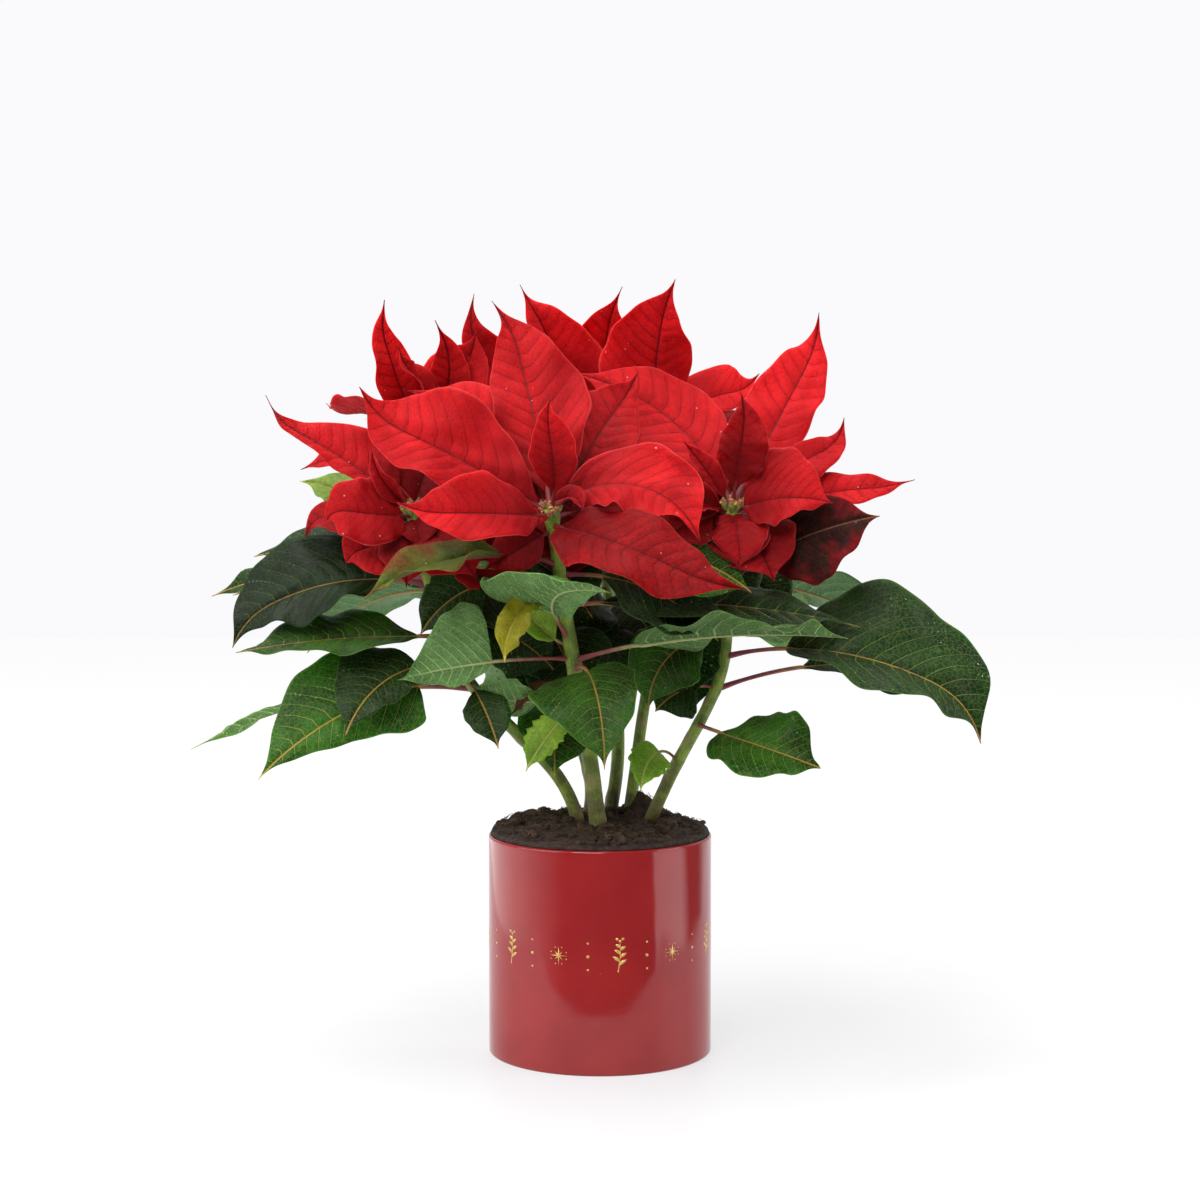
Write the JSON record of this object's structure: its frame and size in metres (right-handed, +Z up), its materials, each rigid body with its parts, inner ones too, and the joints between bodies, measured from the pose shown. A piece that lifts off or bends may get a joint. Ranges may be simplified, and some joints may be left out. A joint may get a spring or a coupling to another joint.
{
  "type": "potted poinsettia plant",
  "caption": "Flowering poinsettia with star-shaped heads of red bracts above dark green leaves, growing in a straight, glossy red pot with small gold motifs.",
  "frame": {"origin": "middle of the flat underside of the pot, on the surface it stands on", "axes": "+Z up; -Y is the plant's front, where its lowest head leans out; +X is to the right as seen from the front"},
  "size_m": [0.4205, 0.3264, 0.4128],
  "materials": {
    "pot": "gloss",
    "gold_print": "satin",
    "soil": "matte",
    "stem": "satin",
    "flowers": "satin",
    "bract_red": "satin",
    "leaf_turning": "satin",
    "leaf_dark": "satin",
    "leaf_green": "satin",
    "leaf_pale": "matte"
  },
  "bodies": {
    "root": {"pot": "pot", "soil": "soil", "stem_left": "stem", "stem_front": "stem", "stem_right": "stem", "stem_back_left": "stem", "stem_back": "stem", "stem_back_right": "stem", "flowers_left": "flowers", "flowers_front": "flowers", "flowers_right": "flowers", "flowers_back_left": "flowers", "flowers_back": "flowers", "flowers_back_right": "flowers", "bract_front_low_left": "bract_red", "bract_front_low_right": "bract_red", "bract_front_right": "bract_red", "bract_front_tall": "bract_red", "bract_front_up_right": "bract_red", "bract_front_up_left": "bract_red", "bract_front_behind": "bract_red", "bract_right_low": "bract_red", "bract_right_up": "bract_red", "bract_right_up_left": "bract_red", "bract_left_out": "bract_red", "bract_left_round": "bract_red", "bract_left_low": "bract_red", "bract_back_left_tall": "bract_red", "bract_back_left_out": "bract_red", "bract_back_left_rear": "bract_red", "bract_back_leaning": "bract_red", "bract_back_horn_left": "bract_red", "bract_back_horn_right": "bract_red", "bract_back_rear_left": "bract_red", "bract_back_rear_right": "bract_red", "bract_back_right_tall": "bract_red", "bract_back_right_low": "bract_red", "bract_back_right_rear": "bract_red", "bract_back_right_out": "bract_red", "leaf_turning_left": "leaf_turning", "leaf_turning_right": "leaf_turning", "leaf_front_dark": "leaf_dark", "leaf_front_pale": "leaf_pale", "leaf_front_low": "leaf_green", "leaf_left_pale": "leaf_pale", "leaf_left_large": "leaf_dark", "leaf_left_under": "leaf_green", "leaf_left_dark": "leaf_dark", "leaf_left_low": "leaf_green", "leaf_left_long": "leaf_pale", "leaf_right_dark": "leaf_dark", "leaf_right_pale": "leaf_pale", "leaf_right_large": "leaf_dark", "leaf_right_behind": "leaf_dark", "leaf_right_low": "leaf_green", "leaf_rear_far_left": "leaf_dark", "leaf_rear_left": "leaf_green", "leaf_rear_middle": "leaf_dark", "leaf_rear_right": "leaf_green", "leaf_rear_far_right": "leaf_dark"}
  },
  "joints": []
}
